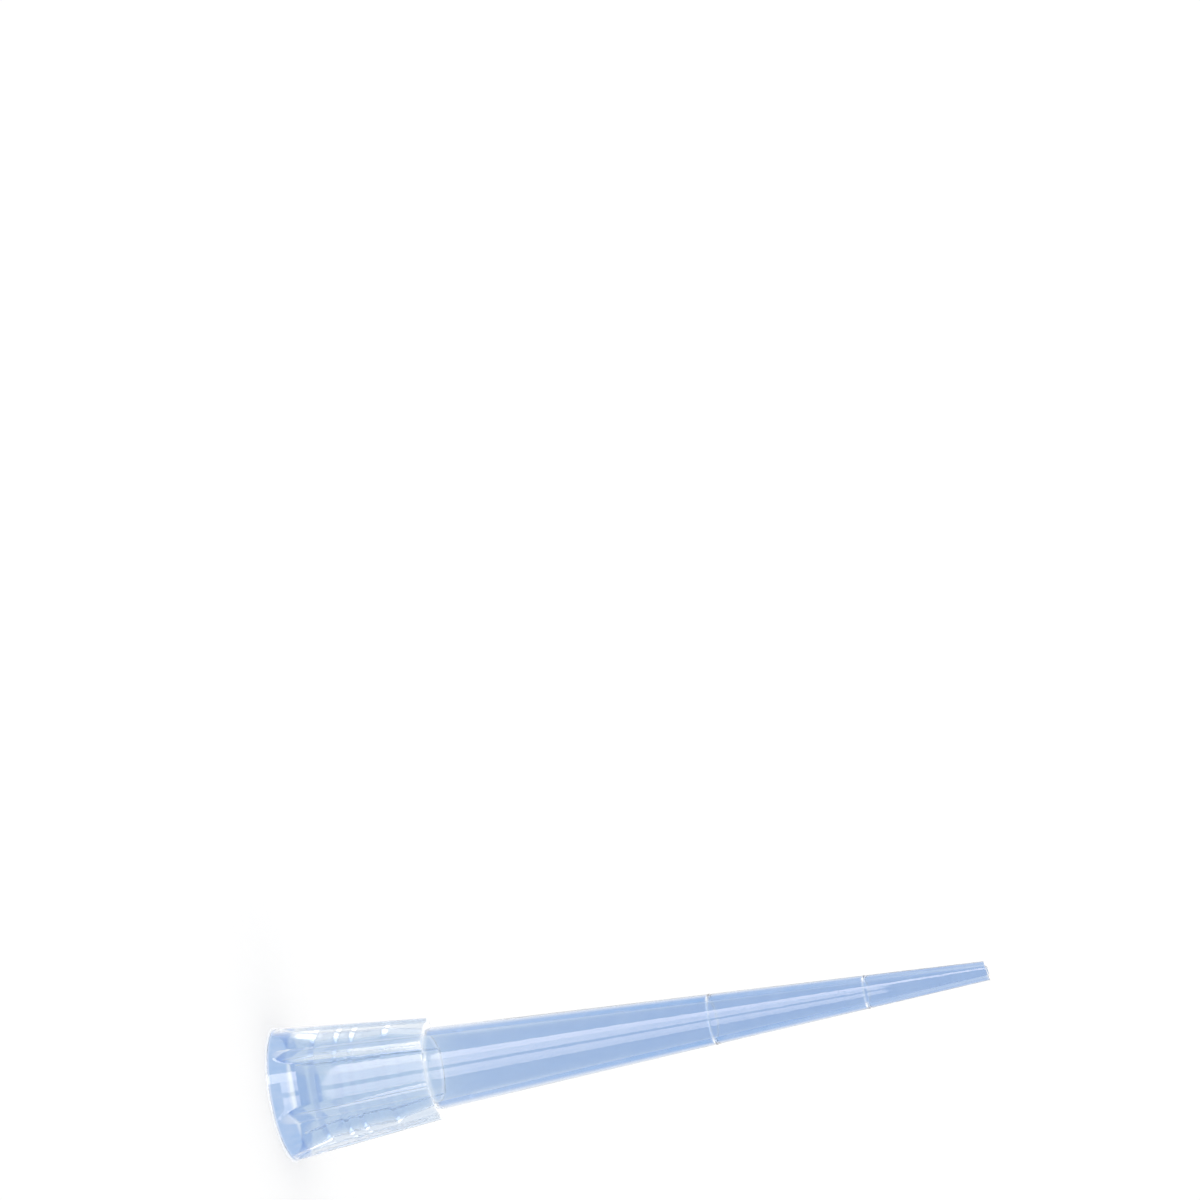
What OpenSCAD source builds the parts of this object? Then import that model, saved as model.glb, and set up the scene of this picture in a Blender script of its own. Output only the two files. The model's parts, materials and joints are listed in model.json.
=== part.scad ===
// Graduated pipette tip for volumes up to about 10 microlitres, moulded in one piece.
// It stands on its mouth: the rim lies on z = 0, the axis is +Z and the point is at the top.
// All sizes are in millimetres.

/* [Whole tip] */
// Length from the rim of the mouth to the point
tip_l = 31; // [26:0.5:40]

/* [Mouth] */
// Outer diameter of the lip round the mouth
mouth_d = 5.86; // [5.7:0.02:6.6]
// Thickness of the lip at the rim
lip_t = 0.3; // [0.2:0.02:0.4]
// Length over which the lip flares out of the collar
flare_l = 1.3; // [0.8:0.1:2.4]
// Radius of the rounded edges of the rim and the shoulder
edge_r = 0.05; // [0.02:0.01:0.08]

/* [Collar] */
// Length of the collar, from the rim to the shoulder
collar_l = 6.7; // [6.2:0.1:9]
// Diameter over the ribs at the shoulder
collar_d = 4.42; // [4.3:0.02:4.8]
// Draft of the collar, as an angle to the axis
collar_draft = 5.8; // [4.8:0.1:6.6]

/* [Ribs] */
// Number of grip ribs round the collar
rib_n = 6; // [4:1:8]
// Height of each rib above the collar wall
rib_h = 0.2; // [0.1:0.02:0.24]
// Radius of the round back of each rib
rib_r = 0.4; // [0.34:0.02:0.5]

/* [Bore for the pipette nozzle] */
// Diameter of the band that seals on the nozzle
seal_d = 3.76; // [3.6:0.02:3.84]
// Distance from the rim to the sealing band
seal_z = 3.6; // [3.3:0.05:4]
// Length of the sealing band
seal_l = 1.25; // [0.8:0.05:1.6]
// Length of the funnel that leads the nozzle in
funnel_l = 1.75; // [1.2:0.05:2.1]
// Distance from the rim to the ring step in the middle of the guide
guide_z = 2.75; // [2.4:0.05:3]
// Draft of the guide between funnel and sealing band
guide_draft = 2; // [0.5:0.5:3]
// Height of each ring step inside the bore
ring_step = 0.07; // [0.04:0.01:0.09]
// Length over which each ring step closes in
ring_run = 0.18; // [0.1:0.02:0.24]
// Distance past the shoulder at which the nozzle's room ends
stop_gap = 1.4; // [0.6:0.1:2.4]
// Height of the step at the end of the nozzle's room
stop_step = 0.04; // [0.02:0.01:0.08]

/* [Body] */
// Diameter of the body where it leaves the shoulder
body_d = 3.54; // [3.4:0.02:3.7]
// Wall of the body where it leaves the shoulder
neck_wall = 0.3; // [0.22:0.02:0.36]
// Wall of the body where its channel starts
channel_wall = 0.34; // [0.3:0.02:0.42]

/* [Point] */
// Outer diameter of the point
point_d = 0.82; // [0.7:0.02:1]
// Diameter of the opening at the point
orifice_d = 0.4; // [0.3:0.02:0.5]
// Slant of the cut end, as an angle to a square cut
point_slant = 10; // [0:1:20]

/* [Volume rings] */
// Distance from the point to the 2 microlitre ring
low_ring_gap = 5.3; // [4:0.1:8]
// Distance from the point to the 10 microlitre ring
high_ring_gap = 12; // [9:0.1:16]
// Width of each volume ring
ring_w = 0.1; // [0.08:0.02:0.2]
// Height of each volume ring above the body
ring_h = 0.02; // [0.01:0.01:0.05]

/* [Hidden] */
$fn = 96;

// Steps of each drawn arc, and how far a cutter runs past the solid it cuts
arc_n = 6;
past = 0.5;

// Outside radii: over the ribs, on the collar wall between them, and on the body
function crest_r(z) = collar_d / 2 + (collar_l - z) * tan(collar_draft);
function wall_r(z) = crest_r(z) - rib_h;
function body_r(z) = body_d / 2 + (point_d - body_d) / 2 * (z - collar_l) / (tip_l - collar_l);

// The flare is a quadratic curve that leaves the collar wall along its own slope
mouth_r = mouth_d / 2;
flare_rise = mouth_r - wall_r(edge_r);
function flare_r(z) = wall_r(z) + flare_rise * pow((flare_l - z) / (flare_l - edge_r), 2);

// Points of a quarter round from angle a0 to a1 about [r, z]
function round_at(r, z, a0, a1) = [
    for (i = [0:arc_n]) let (a = a0 + (a1 - a0) * i / arc_n) [r + edge_r * cos(a), z + edge_r * sin(a)]
];

// Bore radii, from the sealing band outwards to the mouth
seal_r = seal_d / 2;
guide_slope = tan(guide_draft);
inner_guide_z = guide_z + ring_run;
inner_guide_r = seal_r + ring_step + (seal_z - ring_run - inner_guide_z) * guide_slope;
outer_guide_z = funnel_l + ring_run;
outer_guide_r = inner_guide_r + ring_step + (guide_z - outer_guide_z) * guide_slope;
mouth_in_r = mouth_r - lip_t;

// Bore radii and heights from the sealing band to the point
seal_end = seal_z + seal_l;
neck_r = body_d / 2 - neck_wall;
stop_z = collar_l + stop_gap;
channel_z = stop_z + ring_run;
channel_r = body_r(channel_z) - channel_wall;
orifice_r = orifice_d / 2;

// The wall without its ribs: lip, flare, collar, shoulder and body
module shell() {
    lip_edge = round_at(mouth_r - edge_r, edge_r, -90, 0);
    shoulder_edge = round_at(wall_r(collar_l) - edge_r, collar_l - edge_r, 0, 90);
    flare = [for (i = [1:arc_n]) let (z = edge_r + (flare_l - edge_r) * i / arc_n) [flare_r(z), z]];
    rotate_extrude()
        polygon(concat([[0, 0]], lip_edge, flare, shoulder_edge,
            [[body_r(collar_l), collar_l], [body_r(tip_l), tip_l], [0, tip_l]]));
}

// One round-backed rib, lying along the collar's draft from the lip to the shoulder
module rib() {
    centre_r = crest_r(0) - rib_r / cos(collar_draft);
    translate([centre_r, 0, 0])
        rotate([0, -collar_draft, 0])
            translate([0, 0, -past])
                cylinder(r = rib_r, h = collar_l / cos(collar_draft) + 2 * past);
}

// All ribs, ending square at the shoulder and just inside the rim
module ribs() {
    intersection() {
        for (i = [0:rib_n - 1])
            rotate([0, 0, i * 360 / rib_n])
                rib();
        translate([0, 0, edge_r])
            cylinder(r = mouth_r, h = collar_l - edge_r);
    }
}

// A raised ring round the body that marks a volume
module volume_ring(gap) {
    z = tip_l - gap;
    half_w = ring_w / 2;
    rotate_extrude()
        polygon([[0, z - half_w], [body_r(z - half_w), z - half_w], [body_r(z) + ring_h, z - half_w / 2],
            [body_r(z) + ring_h, z + half_w / 2], [body_r(z + half_w), z + half_w], [0, z + half_w]]);
}

// Everything hollow: funnel, guide, sealing band, nozzle room and the channel to the point
module bore() {
    channel_slope = (orifice_r - channel_r) / (tip_l - channel_z);
    rim_edge = round_at(mouth_in_r + edge_r, edge_r, 270, 180);
    rotate_extrude()
        polygon(concat([[0, -past], [mouth_in_r + edge_r, -past]], rim_edge, [
            [outer_guide_r + ring_step, funnel_l],
            [outer_guide_r, outer_guide_z],
            [inner_guide_r + ring_step, guide_z],
            [inner_guide_r, inner_guide_z],
            [seal_r + ring_step, seal_z - ring_run],
            [seal_r, seal_z],
            [seal_r, seal_end],
            [seal_r - ring_step, seal_end + ring_run],
            [neck_r, collar_l],
            [channel_r + stop_step, stop_z],
            [channel_r, channel_z],
            [orifice_r + channel_slope * past, tip_l + past],
            [0, tip_l + past]]));
}

// The waste that a slanted cut takes off the point
module point_cut() {
    translate([point_d / 2, 0, tip_l])
        rotate([0, -point_slant, 0])
            translate([past - tip_l, -tip_l / 2, 0])
                cube(tip_l);
}

module tip() {
    color([0.68, 0.79, 0.93, 0.6])
        difference() {
            union() {
                shell();
                ribs();
                volume_ring(low_ring_gap);
                volume_ring(high_ring_gap);
            }
            bore();
            point_cut();
        }
}

tip();
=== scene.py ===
# %% [markdown]
# # A clear pipette tip
# A pipette tip is one injection moulding in clear polypropylene. It stands on its mouth, with its
# axis upright and its point at the top, as the frame has it. This notebook dresses that one piece:
# it makes a smooth moulding in place of the plain solid, gives it the look of clear
# polypropylene, and sets up a white studio and a long lens.

# %% Load the frame
import json
import math

import bmesh
import bpy
from mathutils import Matrix, Vector


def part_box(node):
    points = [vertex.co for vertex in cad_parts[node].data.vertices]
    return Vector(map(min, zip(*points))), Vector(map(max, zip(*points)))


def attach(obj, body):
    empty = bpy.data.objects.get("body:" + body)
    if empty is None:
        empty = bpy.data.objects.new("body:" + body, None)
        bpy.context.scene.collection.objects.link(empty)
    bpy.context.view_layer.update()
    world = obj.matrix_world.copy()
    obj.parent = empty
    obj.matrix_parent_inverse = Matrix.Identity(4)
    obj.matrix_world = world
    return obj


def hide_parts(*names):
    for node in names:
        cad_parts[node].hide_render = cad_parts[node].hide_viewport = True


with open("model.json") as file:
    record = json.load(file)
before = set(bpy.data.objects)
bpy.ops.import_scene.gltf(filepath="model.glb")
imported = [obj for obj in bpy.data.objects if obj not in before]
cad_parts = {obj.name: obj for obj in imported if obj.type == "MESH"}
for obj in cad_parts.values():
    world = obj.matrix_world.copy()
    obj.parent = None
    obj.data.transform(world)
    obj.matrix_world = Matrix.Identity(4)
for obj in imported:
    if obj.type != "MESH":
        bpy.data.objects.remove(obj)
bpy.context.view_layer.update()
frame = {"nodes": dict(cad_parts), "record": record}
scene = bpy.context.scene
mounts = {mount["name"]: mount for mount in frame["record"]["mounts"]}
print("nodes:", list(frame["nodes"]))

# %% [markdown]
# ## Sizes
# A moulder's drawing of such a tip gives diameters, lengths and drafts, in millimetres. The
# length, the mouth, the shoulder and the sealing band come from the frame itself, so that the
# dressed piece can't drift from the solid. The other sizes repeat the drawing's.

# %% Sizes from the frame and the drawing, in millimetres
MM = 0.001
low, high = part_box("tip")
tip_l = high.z / MM
mouth_r = high.x / MM
collar_l = mounts["rack_seat"]["pos_m"][2] / MM
seal_r = mounts["nozzle_seat"]["dims"]["r_mm"]
seal_l = mounts["nozzle_seat"]["dims"]["length_mm"]
seal_mid = mounts["nozzle_seat"]["pos_m"][2] / MM

lip_t, flare_l, edge_r = 0.3, 1.3, 0.05
collar_d, collar_draft = 4.42, math.radians(5.8)
rib_n, rib_h, rib_r = 6, 0.2, 0.4
funnel_l, guide_z, guide_draft = 1.75, 2.75, math.radians(2)
ring_step, ring_run = 0.07, 0.18
stop_gap, stop_step = 1.4, 0.04
neck_wall, channel_wall = 0.3, 0.34
body_d, point_d, orifice_d = 3.54, 0.82, 0.4
point_slant = math.radians(10)
ring_gaps, ring_w, ring_h = (5.3, 12.0), 0.1, 0.02
print(f"length {tip_l:.2f} mm, mouth {2 * mouth_r:.2f} mm across, shoulder at {collar_l:.2f} mm")


# %% [markdown]
# ## The outside radii
# Three formulas give the outside at any height: over the ribs, on the collar's wall between
# them, and on the body. The lip flares out of the wall as a quadratic curve, which leaves the
# wall along its own slope, as a blend on a turned core would.

# %% Radii of the outside at a height z
def crest_r(z):
    return collar_d / 2 + (collar_l - z) * math.tan(collar_draft)


def wall_r(z):
    return crest_r(z) - rib_h


def flare_r(z):
    rise = mouth_r - wall_r(edge_r)
    share = max(0.0, (flare_l - z) / (flare_l - edge_r))
    return wall_r(z) + rise * share**2


def body_r(z):
    return body_d / 2 + (point_d - body_d) / 2 * (z - collar_l) / (tip_l - collar_l)


print(f"over the ribs {2 * crest_r(collar_l):.2f} mm at the shoulder")
print(f"body {2 * body_r(collar_l):.2f} mm at the shoulder")

# %% [markdown]
# ## The section
# The tip could be carved from a cylinder with booleans, but a turned part is simplest as one
# section spun round the axis. The section is a closed loop: up the outside from the rim to the
# point, and back down the bore. Each corner is a plain point here, and the bevels come later.

# %% Corners of the section, as (radius, height)
FLARE_ROWS, WALL_ROWS = 22, 6


def spaced(start, end, steps):
    return [start + (end - start) * i / steps for i in range(1, steps + 1)]


def outer_corners():
    corners = [(mouth_r, 0.0)]
    corners += [(flare_r(z), z) for z in spaced(0.0, flare_l, FLARE_ROWS)]
    corners += [(wall_r(z), z) for z in spaced(flare_l, collar_l, WALL_ROWS)]
    corners += [(body_r(collar_l), collar_l)]
    for gap in sorted(ring_gaps, reverse=True):
        z = tip_l - gap
        corners += [
            (body_r(z - ring_w / 2), z - ring_w / 2),
            (body_r(z) + ring_h, z - ring_w / 4),
            (body_r(z) + ring_h, z + ring_w / 4),
            (body_r(z + ring_w / 2), z + ring_w / 2),
        ]
    return corners + [(body_r(tip_l), tip_l)]


def bore_corners():
    seal_start, seal_end = seal_mid - seal_l / 2, seal_mid + seal_l / 2
    inner_z, outer_z = guide_z + ring_run, funnel_l + ring_run
    slope = math.tan(guide_draft)
    inner_r = seal_r + ring_step + (seal_start - ring_run - inner_z) * slope
    outer_r = inner_r + ring_step + (guide_z - outer_z) * slope
    channel_z = collar_l + stop_gap + ring_run
    channel_r = body_r(channel_z) - channel_wall
    return [
        (orifice_d / 2, tip_l),
        (channel_r, channel_z),
        (channel_r + stop_step, channel_z - ring_run),
        (body_d / 2 - neck_wall, collar_l),
        (seal_r - ring_step, seal_end + ring_run),
        (seal_r, seal_end),
        (seal_r, seal_start),
        (seal_r + ring_step, seal_start - ring_run),
        (inner_r, inner_z),
        (inner_r + ring_step, guide_z),
        (outer_r, outer_z),
        (outer_r + ring_step, funnel_l),
        (mouth_r - lip_t, 0.0),
    ]


def bore_r(z):
    """Radius of the bore at a height, straight between its corners."""
    corners = bore_corners()
    for (r1, z1), (r0, z0) in zip(corners, corners[1:]):
        if z >= z0:
            return r0 + (r1 - r0) * (z - z0) / (z1 - z0)
    return corners[-1][0]


# %% Extra rows beside each corner
def with_close_rows(corners, gaps=(0.07, 0.15)):
    """Adds points on each long stretch close to its two ends, where the frost will fade out."""
    rows = []
    for (r0, z0), (r1, z1) in zip(corners, corners[1:]):
        length = math.hypot(r1 - r0, z1 - z0)
        shares = [0.0]
        if length > 3 * gaps[-1]:
            shares += [gap / length for gap in gaps] + [1 - gap / length for gap in reversed(gaps)]
        rows += [(r0 + (r1 - r0) * s, z0 + (z1 - z0) * s) for s in shares]
    return rows + [corners[-1]]


outside, inside = with_close_rows(outer_corners()), with_close_rows(bore_corners())
print(f"{len(outside)} rows outside, {len(inside)} in the bore")

# %% [markdown]
# ## Spinning the shell
# The loop of corners is one closed wire, and a full spin with its ends merged gives a closed
# wall with no pole, because nothing lies on the axis. A facet would show as a bright stripe in
# clear plastic, so each step of the spin is under a degree.

# %% Spin the section round the axis
SPIN_STEPS = 432


def spun_shell():
    bm = bmesh.new()
    ring = [bm.verts.new((r * MM, 0.0, z * MM)) for r, z in outside + inside]
    edges = [bm.edges.new((a, b)) for a, b in zip(ring, ring[1:] + ring[:1])]
    bmesh.ops.spin(
        bm,
        geom=ring + edges,
        cent=(0, 0, 0),
        axis=(0, 0, 1),
        angle=2 * math.pi,
        steps=SPIN_STEPS,
        use_merge=True,
    )
    bmesh.ops.remove_doubles(bm, verts=bm.verts, dist=1e-7)
    bmesh.ops.recalc_face_normals(bm, faces=bm.faces)
    return bm


shell = spun_shell()
print(f"shell: {len(shell.verts)} vertices, {len(shell.faces)} faces")

# %% [markdown]
# ## Ribs
# The ribs are round-backed bars that grow out of the flare and end flush with the shoulder. A
# boolean would leave a hard line along each root, while a mould has a small blend there. So the
# collar's outer vertices are pushed out instead, to the larger of wall and rib, and a smooth
# maximum gives the blend its radius.

# %% Push the ribs out of the collar
def smooth_max(a, b, blend):
    share = max(0.0, min(1.0, 0.5 + (b - a) / (2 * blend)))
    return a + (b - a) * share + blend * share * (1 - share)


def rib_reach(angle, z):
    """Radius of the nearest rib's back at this angle, or 0 beside it."""
    pitch = 2 * math.pi / rib_n
    off = (angle + pitch / 2) % pitch - pitch / 2
    centre = crest_r(z) - rib_r
    side = centre * math.sin(off)
    if abs(side) >= rib_r:
        return 0.0
    return centre * math.cos(off) + math.sqrt(rib_r**2 - side**2)


def push_ribs(bm, blend=0.05):
    moved = 0
    for v in bm.verts:
        z, r = v.co.z / MM, v.co.xy.length / MM
        if z > collar_l + 1e-4 or r < wall_r(z) - 1e-4 or z < 1e-4:
            continue
        new_r = smooth_max(r, rib_reach(math.atan2(v.co.y, v.co.x), z), blend)
        if new_r > r:
            v.co.xy *= new_r / r
            moved += 1
    return moved


print("rib vertices moved:", push_ribs(shell))

# %% [markdown]
# ## Slanted point
# The point is trimmed at a slight slant, so one side is a little longer. The last vertices are
# lowered on to the slanted plane, and the rows below follow less and less, which keeps the
# shell closed without a cut.

# %% Slant the point
def slant_point(bm, reach=0.6):
    for v in bm.verts:
        share = max(0.0, 1 - (tip_l - v.co.z / MM) / reach)
        v.co.z -= share * (point_d / 2 * MM - v.co.x) * math.tan(point_slant)


slant_point(shell)
print("point slanted by", round(math.degrees(point_slant)), "degrees")

# %% [markdown]
# ## Soft edges
# No edge of a moulding is razor sharp. Every loop where the section turns by more than a few
# degrees gets a small round with the bevel operator, smaller inside the bore where steps are
# only a tenth of a millimetre.

# %% Bevel the loops where the section turns
def in_bore(co):
    """True if this point is nearer to the bore than to the outside."""
    z, r = co.z / MM, co.xy.length / MM
    if z > collar_l + 0.02:
        return r < (bore_r(z) + body_r(z)) / 2
    return r < (bore_r(z) + flare_r(z)) / 2


def sharp_edges(bm, least, inner):
    found = []
    for e in bm.edges:
        if len(e.link_faces) != 2 or e.calc_face_angle(0.0) < least:
            continue
        along = e.verts[1].co - e.verts[0].co
        level = abs(along.z) < 0.35 * along.length
        if level and in_bore((e.verts[0].co + e.verts[1].co) / 2) == inner:
            found.append(e)
    return found


def soften(bm):
    for inner, offset in ((False, 0.035), (True, 0.025)):
        edges = sharp_edges(bm, math.radians(12), inner)
        bmesh.ops.bevel(
            bm,
            geom=edges,
            offset=offset * MM,
            offset_type="OFFSET",
            affect="EDGES",
            segments=3,
            profile=0.5,
            material=-1,
            clamp_overlap=True,
        )
    return len(bm.faces)


print("faces after the bevels:", soften(shell))

# %% [markdown]
# ## Frost, painted highlights, tint and painted shade
# Thick sections, edges and raised marks are hazier than a plain wall, because the plastic
# scatters more light there: that is the frost, which roughens the skin and scatters light. White
# pales the tint as painted highlights: bright lines on the rim, the shoulder, the point and the
# rings, and paler rib backs, where a lit edge would catch the lamps. Depth takes the tint towards
# blue: a little everywhere as the plastic's own tint, and strongly on the outer lip and the bore's
# ring steps as painted shade, which stands for dark surroundings seen through them. Masks painted
# by hand would come loose from the form, so each value is worked out from the drawing's own sizes
# and kept on the vertices. The last two values belong to the clear body: how edge-on a look must
# be for the light to miss the bore and run along inside the wall, and how much deeper the tint
# then is.

# %% Helpers for the vertex values
def near(value, place, reach):
    """1 at the place, falling smoothly to 0 at this reach from it."""
    share = max(0.0, 1 - abs(value - place) / reach)
    return share * share * (3 - 2 * share)


def between(value, start, end, fade):
    """1 from start to end, falling smoothly to 0 over the fade outside them."""
    return near(value, min(max(value, start), end), fade)


def paint(bm, name, value_at):
    layer = bm.verts.layers.float.new(name)
    for v in bm.verts:
        v[layer] = value_at(v.co)
    print(f"mean {name}: {sum(v[layer] for v in bm.verts) / len(bm.verts):.3f}")


# %% Frost on the steps, ribs, shoulder, rings and edges
CLEAR_FROST = 0.04  # what a plain clear wall has
SHOULDER = 0.04  # how far above and below its plane the shoulder's face reaches, in mm
STEP_STARTS = (funnel_l, guide_z, seal_mid - seal_l / 2 - ring_run, seal_mid + seal_l / 2)


def rib_share(co):
    """How far a point outside the collar stands on a rib, from 0 on the wall to 1 on the crest."""
    return max(0.0, min(1.0, (co.xy.length / MM - flare_r(co.z / MM)) / rib_h))


def frost_at(co):
    z = co.z / MM
    if in_bore(co):
        frost = CLEAR_FROST + 0.06 * between(z, 0.0, funnel_l, 0.1)
        for start in STEP_STARTS:
            frost += 0.14 * between(z, start, start + ring_run, 0.08)
    elif z < collar_l - SHOULDER:
        frost = 0.05 + 0.05 * rib_share(co)
    elif z < collar_l + SHOULDER:
        frost = 0.7
    else:
        frost = CLEAR_FROST + 0.4 * near(z, collar_l, 0.12)
        for gap in ring_gaps:
            frost += 0.5 * near(z, tip_l - gap, 0.8 * ring_w)
    return min(1.0, frost + 0.2 * near(z, tip_l, 0.1))


paint(shell, "frost", frost_at)


# %% Painted highlights: white on the edges and ribs
# Painted highlights: a whiter tint for bright lines on the rim, shoulder, point, rings and ribs.
def painted_highlight_at(co):
    z = co.z / MM
    white = near(z, 0.0, 0.2) + near(z, collar_l, 0.2) + near(z, tip_l, 0.14)
    if not in_bore(co):
        if z < collar_l - SHOULDER:
            white += 0.6 * rib_share(co)
        for gap in ring_gaps:
            white += near(z, tip_l - gap, ring_w)
    return min(1.0, white)


paint(shell, "white", painted_highlight_at)


# %% Depth: the plastic's tint, and painted shade on the lip and on the ring steps
# How much painted shade each ring step of the bore gets.
STEP_PAINTED_SHADES = (0.45, 0.2, 0.2, 0.2)


# Painted shade: the deep tint on the outer lip and the ring steps; the low base is the plastic's
# tint.
def tint_and_painted_shade_at(co):
    z = co.z / MM
    depth = 0.12 + 0.15 * max(0.0, min(1.0, (z - collar_l) / 0.4))
    if in_bore(co):
        for start, share in zip(STEP_STARTS, STEP_PAINTED_SHADES):
            depth += share * between(z, start, start + ring_run, 0.05)
        return depth
    return max(depth, 0.8 * between(z, 0.12, 0.8, 0.2))


paint(shell, "depth", tint_and_painted_shade_at)


# %% The look at which light misses the bore
def on_body(co):
    """True on the outside of the body, past the shoulder."""
    return co.z / MM >= collar_l + SHOULDER and not in_bore(co)


def turn_at(co):
    """1 - cosine of that angle on the body's skin, and 1, which is never reached, elsewhere."""
    z = co.z / MM
    return 1 - math.sqrt(1 - (bore_r(z) / body_r(z)) ** 2) if on_body(co) else 1.0


def extra_at(co):
    """The depth that such a look adds, which is more in a thinner wall."""
    z = co.z / MM
    return 1.6 * bore_r(z) / body_r(z) - 0.54 if on_body(co) else 0.0


paint(shell, "turn", turn_at)
paint(shell, "extra", extra_at)

# %% [markdown]
# ## The piece
# The finished shell becomes one object that stands in for the plain solid and rides on the
# frame's root. All faces are shaded smooth, and normals weighted by area keep the broad walls
# even beside the narrow rounds, where plain smoothing would draw a false gleam.

# %% Make the piece
def piece_from(bm, name):
    mesh = bpy.data.meshes.new(name)
    bm.to_mesh(mesh)
    bm.free()
    mesh.polygons.foreach_set("use_smooth", [True] * len(mesh.polygons))
    piece = bpy.data.objects.new(name, mesh)
    scene.collection.objects.link(piece)
    return piece


moulding = piece_from(shell, "moulded_tip")
normals = moulding.modifiers.new("even normals", "WEIGHTED_NORMAL")
normals.keep_sharp = True
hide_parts("tip")
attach(moulding, "root")
print("triangles:", sum(len(p.vertices) - 2 for p in moulding.data.polygons))

# %% [markdown]
# ## Clear polypropylene
# Natural polypropylene is clear in a thin wall but never as clear as glass: its crystals
# scatter a little light, which gives a cool milky haze, and a polished mould leaves a glossy
# skin. A glass shader mixed with a white one would do, but a transmitting Principled shader
# gives both at once. The pale tint is a plain wall's. The deep one is the plastic's deeper tint
# and also the painted shade on the lip and the ring steps, and the near-white one is the haze
# and also the painted highlights.

# %% Colours and a node helper
def linear(hex_colour):
    """An sRGB hex colour as linear RGBA."""
    channels = [int(hex_colour[i : i + 2], 16) / 255 for i in (1, 3, 5)]
    return [c / 12.92 if c <= 0.04045 else ((c + 0.055) / 1.055) ** 2.4 for c in channels] + [1.0]


def add(tree, kind, sockets=None, **attributes):
    """Adds a node. A socket, by name or number, takes a value or another node's output."""
    node = tree.nodes.new(kind)
    for name, value in attributes.items():
        setattr(node, name, value)
    for socket, value in (sockets or {}).items():
        if isinstance(value, bpy.types.NodeSocket):
            tree.links.new(value, node.inputs[socket])
        else:
            node.inputs[socket].default_value = value
    return node


def new_material(name):
    material = bpy.data.materials.new(name)
    material.use_nodes = True
    material.node_tree.nodes.clear()
    return material, material.node_tree


# The deep blue serves tint and painted shade; the near-white serves haze and painted highlights.
PALE, DEEP_TINT_AND_SHADE, HAZE_AND_HIGHLIGHT_WHITE = linear("#DBE8F4"), linear("#5490DC"), linear("#F8FBFF")
print("pale tint, linear:", [round(c, 3) for c in PALE])

# %% [markdown]
# ## Building the look
# Haze is the frost of the mesh with two faint patterns added. The melt ran from the mouth to
# the point and left flow lines along the axis, 0.25 mm apart, and cooling left soft clouds of
# about 0.7 mm. Haze whitens the tint and roughens the skin, and the frost alone turns some
# transmission into scatter. The white mask and a grazing look also pale the tint, as painted
# highlights on the edges and along the outline: were they rougher or scattered there, the
# outline would turn grey. The flow lines also make a bump of 0.6 micron.

# %% Moulded polypropylene
FLOW_PITCH, CLOUD_SIZE = 0.25, 0.7  # millimetres


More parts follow.
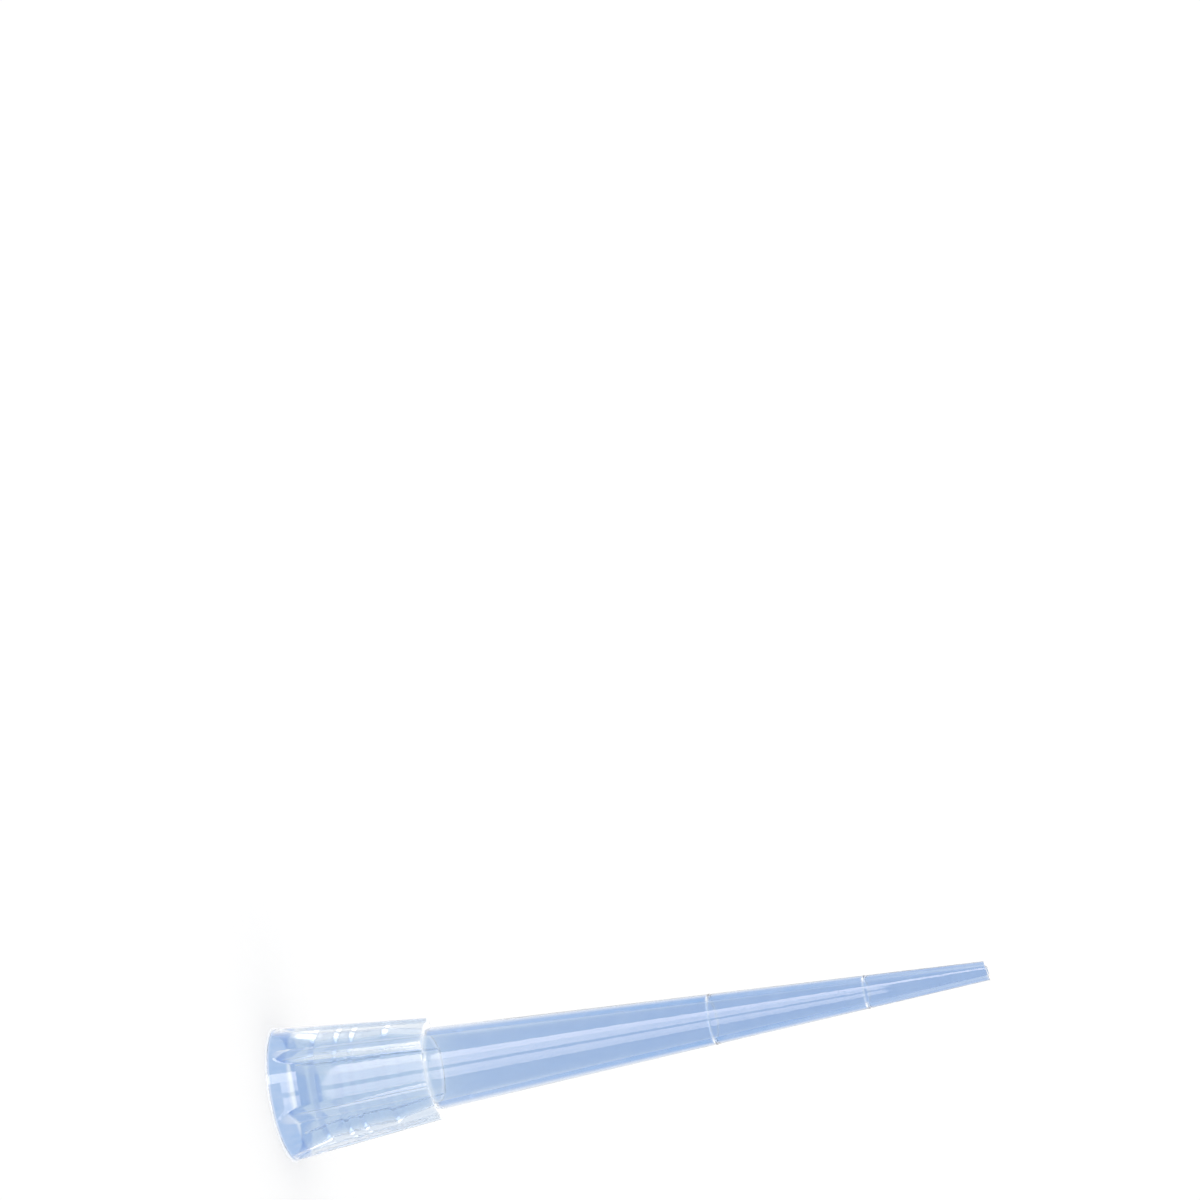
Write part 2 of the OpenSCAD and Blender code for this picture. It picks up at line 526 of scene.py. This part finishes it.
def moulded_polypropylene():
    """Clear, cool and glossy, and whiter at edges, steps, ribs and rings from haze and painted
    highlights, and deeper blue on the lip and the ring steps as painted shade.
    """
    material, tree = new_material("moulded polypropylene")
    frost, white, depth, turn, extra = (
        add(tree, "ShaderNodeAttribute", attribute_name=name).outputs["Fac"]
        for name in ("frost", "white", "depth", "turn", "extra")
    )
    place = add(tree, "ShaderNodeTexCoord").outputs["Object"]
    along = add(tree, "ShaderNodeMapping", {"Vector": place, "Scale": (1, 1, 0.04)}).outputs[0]
    flow = add(
        tree,
        "ShaderNodeTexNoise",
        {"Vector": along, "Scale": 1 / (FLOW_PITCH * MM), "Detail": 3.0},
    )
    cloud = add(
        tree,
        "ShaderNodeTexNoise",
        {"Vector": place, "Scale": 1 / (CLOUD_SIZE * MM), "Detail": 2.0},
    )
    pattern = add(
        tree, "ShaderNodeMath", {0: flow.outputs[0], 1: cloud.outputs[0]}, operation="ADD"
    )
    pattern = add(
        tree,
        "ShaderNodeMapRange",
        {
            "Value": pattern.outputs[0],
            "From Min": 0.7,
            "From Max": 1.3,
            "To Min": -0.08,
            "To Max": 0.08,
        },
    )
    facing = add(tree, "ShaderNodeLayerWeight", {"Blend": 0.5}).outputs["Facing"]
    # Painted highlight: a grazing look pales the tint into a bright outline.
    grazing_highlight = add(
        tree,
        "ShaderNodeMapRange",
        {"Value": facing, "From Min": 0.5, "From Max": 0.75, "To Max": 0.85},
    ).outputs[0]
    past = add(tree, "ShaderNodeMath", {0: facing, 1: turn}, operation="SUBTRACT").outputs[0]
    longer = add(
        tree, "ShaderNodeMapRange", {"Value": past, "From Min": -0.03, "From Max": 0.0}
    ).outputs[0]
    deeper = add(
        tree, "ShaderNodeMath", {0: longer, 1: extra, 2: depth}, operation="MULTIPLY_ADD"
    ).outputs[0]
    mottled = add(
        tree, "ShaderNodeMath", {0: frost, 1: pattern.outputs[0]}, operation="ADD", use_clamp=True
    ).outputs[0]
    # Tint: pale on a plain wall, deeper as the plastic's tint and as painted shade on lip and
    # steps.
    clear = add(tree, "ShaderNodeMix", {0: deeper, 6: PALE, 7: DEEP_TINT_AND_SHADE}, data_type="RGBA").outputs[2]
    # The painted highlights of the white mask and of the outline, then the haze, pale the tint.
    edge = add(tree, "ShaderNodeMath", {0: white, 1: grazing_highlight}, operation="MAXIMUM").outputs[0]
    whiter = add(tree, "ShaderNodeMath", {0: mottled, 1: edge}, operation="MAXIMUM").outputs[0]
    tint = add(
        tree, "ShaderNodeMix", {0: whiter, 6: clear, 7: HAZE_AND_HIGHLIGHT_WHITE}, data_type="RGBA"
    ).outputs[2]
    rough = add(tree, "ShaderNodeMapRange", {"Value": mottled, "To Min": 0.03, "To Max": 0.2})
    through = add(
        tree,
        "ShaderNodeMapRange",
        {"Value": frost, "From Min": CLEAR_FROST, "To Min": 0.99, "To Max": 0.8},
    )
    bump = add(
        tree,
        "ShaderNodeBump",
        {"Height": flow.outputs[0], "Strength": 1.0, "Distance": 6e-7},
    )
    shader = add(
        tree,
        "ShaderNodeBsdfPrincipled",
        {
            "Base Color": tint,
            "Roughness": rough.outputs[0],
            "Transmission Weight": through.outputs[0],
            "Normal": bump.outputs[0],
            "IOR": 1.49,
        },
    )
    add(tree, "ShaderNodeOutputMaterial", {"Surface": shader.outputs[0]})
    return material


moulding.data.materials.append(moulded_polypropylene())
print("material:", moulding.data.materials[0].name)

# %% [markdown]
# ## White studio
# The floor and the world are white through the plastic, and the lamps stay at a plain level.
# The directions of the camera come first, because the softboxes are placed round its side. It
# looks down a little and is rolled over, so that the upright tip lies along the picture with
# its point to the right and slightly raised.

# %% Camera directions
axis = Vector((0, 0, 1))
CAMERA_AZIMUTH, CAMERA_RISE = math.radians(-82), math.radians(11.2)
PICTURE_TILT = math.radians(10.04)
flat = Vector((math.cos(CAMERA_AZIMUTH), math.sin(CAMERA_AZIMUTH), 0))
back = flat * math.cos(CAMERA_RISE) + axis * math.sin(CAMERA_RISE)
along = (axis - back * axis.dot(back)).normalized()
across = back.cross(along)
right = along * math.cos(PICTURE_TILT) - across * math.sin(PICTURE_TILT)
up = along * math.sin(PICTURE_TILT) + across * math.cos(PICTURE_TILT)
print("camera looks from", [round(c, 3) for c in back])

# %% [markdown]
# ## Floor and world
# The world is even white. The floor is a light table: it glows a little under the tip and still
# takes its shadow, and in reflections and through the plastic it is plain white, so that no
# grey floor shows inside the clear wall.

# %% Floor and world
def white_world():
    """White from every side, for the camera, for reflections and for the light itself."""
    world = bpy.data.worlds.new("white studio")
    world.use_nodes = True
    tree = world.node_tree
    tree.nodes.clear()
    white = add(tree, "ShaderNodeBackground", {"Color": (1, 1, 1, 1), "Strength": 1.0})
    add(tree, "ShaderNodeOutputWorld", {"Surface": white.outputs[0]})
    return world


def white_floor(size, glow):
    """A light table. It is plain white in the plastic, and elsewhere keeps the shadow."""
    bm = bmesh.new()
    bmesh.ops.create_grid(bm, x_segments=1, y_segments=1, size=size)
    floor = piece_from(bm, "floor")
    material, tree = new_material("white light table")
    path = add(tree, "ShaderNodeLightPath").outputs
    seen = add(
        tree,
        "ShaderNodeMath",
        {0: path["Is Glossy Ray"], 1: path["Is Transmission Ray"]},
        operation="MAXIMUM",
    )
    lit = add(
        tree,
        "ShaderNodeBsdfPrincipled",
        {
            "Base Color": linear("#C8C8C8"),
            "Roughness": 1.0,
            "Specular IOR Level": 0.0,
            "Emission Color": (1, 1, 1, 1),
            "Emission Strength": glow,
        },
    )
    plain = add(tree, "ShaderNodeEmission", {"Color": (1, 1, 1, 1), "Strength": 1.0})
    mixed = add(
        tree,
        "ShaderNodeMixShader",
        {0: seen.outputs[0], 1: lit.outputs[0], 2: plain.outputs[0]},
    )
    add(tree, "ShaderNodeOutputMaterial", {"Surface": mixed.outputs[0]})
    floor.data.materials.append(material)


FLOOR_HALF, FLOOR_GLOW = 2.0, 0.45
scene.world = white_world()
white_floor(FLOOR_HALF, FLOOR_GLOW)
print(f"floor {2 * FLOOR_HALF:.0f} m across, glow {FLOOR_GLOW}")

# %% [markdown]
# ## Light inside the plastic
# A ray that enters the collar's wall is often reflected ten times or more before it leaves.
# Cycles stops after four glossy bounces and leaves black there, so it is allowed more.

# %% More bounces for clear walls
scene.cycles.glossy_bounces = scene.cycles.transmission_bounces = 16
scene.cycles.diffuse_bounces = 8
scene.cycles.max_bounces = 20
print("glossy bounces:", scene.cycles.glossy_bounces)

# %% [markdown]
# ## Softboxes
# The front lamps only make the highlights. A tall key strip stands well to one side of the
# camera, with a lower, dimmer one next to it and two more beyond the camera. The gap in front
# of the camera shows as a darker line between the long highlights. A broad softbox behind and
# above is seen through the plastic as well.

# %% Softboxes
WARM = linear("#FFF2E6")


def softbox(name, towards, turn, distance, size, radiance, through=False):
    """An area lamp of this size and radiance, which faces the axis from this direction.
    It shows in reflections, and where through is true also inside the plastic."""
    towards = Matrix.Rotation(turn, 3, axis) @ towards
    lamp = bpy.data.lights.new(name, "AREA")
    lamp.shape = "RECTANGLE"
    lamp.size, lamp.size_y = size
    lamp.energy = radiance * math.pi * size[0] * size[1]
    lamp.color = WARM[:3]
    lamp_object = bpy.data.objects.new(name, lamp)
    lamp_object.rotation_mode = "QUATERNION"
    lamp_object.rotation_quaternion = towards.to_track_quat("Z", "Y")
    lamp_object.location = towards.normalized() * distance
    lamp_object.visible_camera = lamp_object.visible_diffuse = False
    lamp_object.visible_transmission = through
    scene.collection.objects.link(lamp_object)
    return lamp_object


def strip(name, turns, radiance, distance=0.06, height=0.045):
    """A strip softbox that spans these turns from the camera's side, seen from the tip."""
    low, high = (math.radians(turn) for turn in turns)
    width = 2 * distance * math.tan((high - low) / 2)
    lamp = softbox(name, flat, (low + high) / 2, distance, (width, height), radiance)
    lamp.location.z = height / 2


strip("key strip", (-41, -24), 6.7, height=0.1)
strip("wide strip", (-24, -4), 4.3, height=0.024)
strip("right strip", (4.5, 18), 4.3, height=0.024)
strip("far right strip", (18, 30), 3.5, height=0.024)
BACK_RISE = math.radians(32)
above_back = axis * math.sin(BACK_RISE) - flat * math.cos(BACK_RISE)
softbox("back softbox", above_back, 0.0, 0.3, (0.6, 0.26), 1.25, through=True)
print("lamps:", [lamp.name for lamp in bpy.data.lights])

# %% [markdown]
# ## Camera
# A long lens from under a third of a metre away keeps the sides of the small tip nearly
# straight. The aim is beside the tip, which leaves it low in the picture.

# %% Camera
def place_camera(lens, frame_width, aim_right, aim_up):
    """A long lens that frames frame_width of the tip's plane, aimed beside the tip's middle."""
    data = bpy.data.cameras.new("camera")
    data.lens, data.sensor_width = lens, 36
    camera = bpy.data.objects.new("camera", data)
    middle = axis * (tip_l / 2 * MM)
    place = middle + back * (lens / data.sensor_width * frame_width)
    look = (middle + right * aim_right + up * aim_up - place).normalized()
    side = look.cross(up).normalized()
    camera.matrix_world = Matrix((side, side.cross(look), -look)).transposed().to_4x4()
    camera.location = place
    data.clip_start, data.clip_end = 0.01, 10
    scene.collection.objects.link(camera)
    return camera


FRAME_WIDTH = 51.15 * MM
scene.camera = place_camera(200, FRAME_WIDTH, -1.42 * MM, 18.47 * MM)
scene.view_settings.view_transform = "Standard"
print(f"camera {scene.camera.location.length:.3f} m from the mouth")
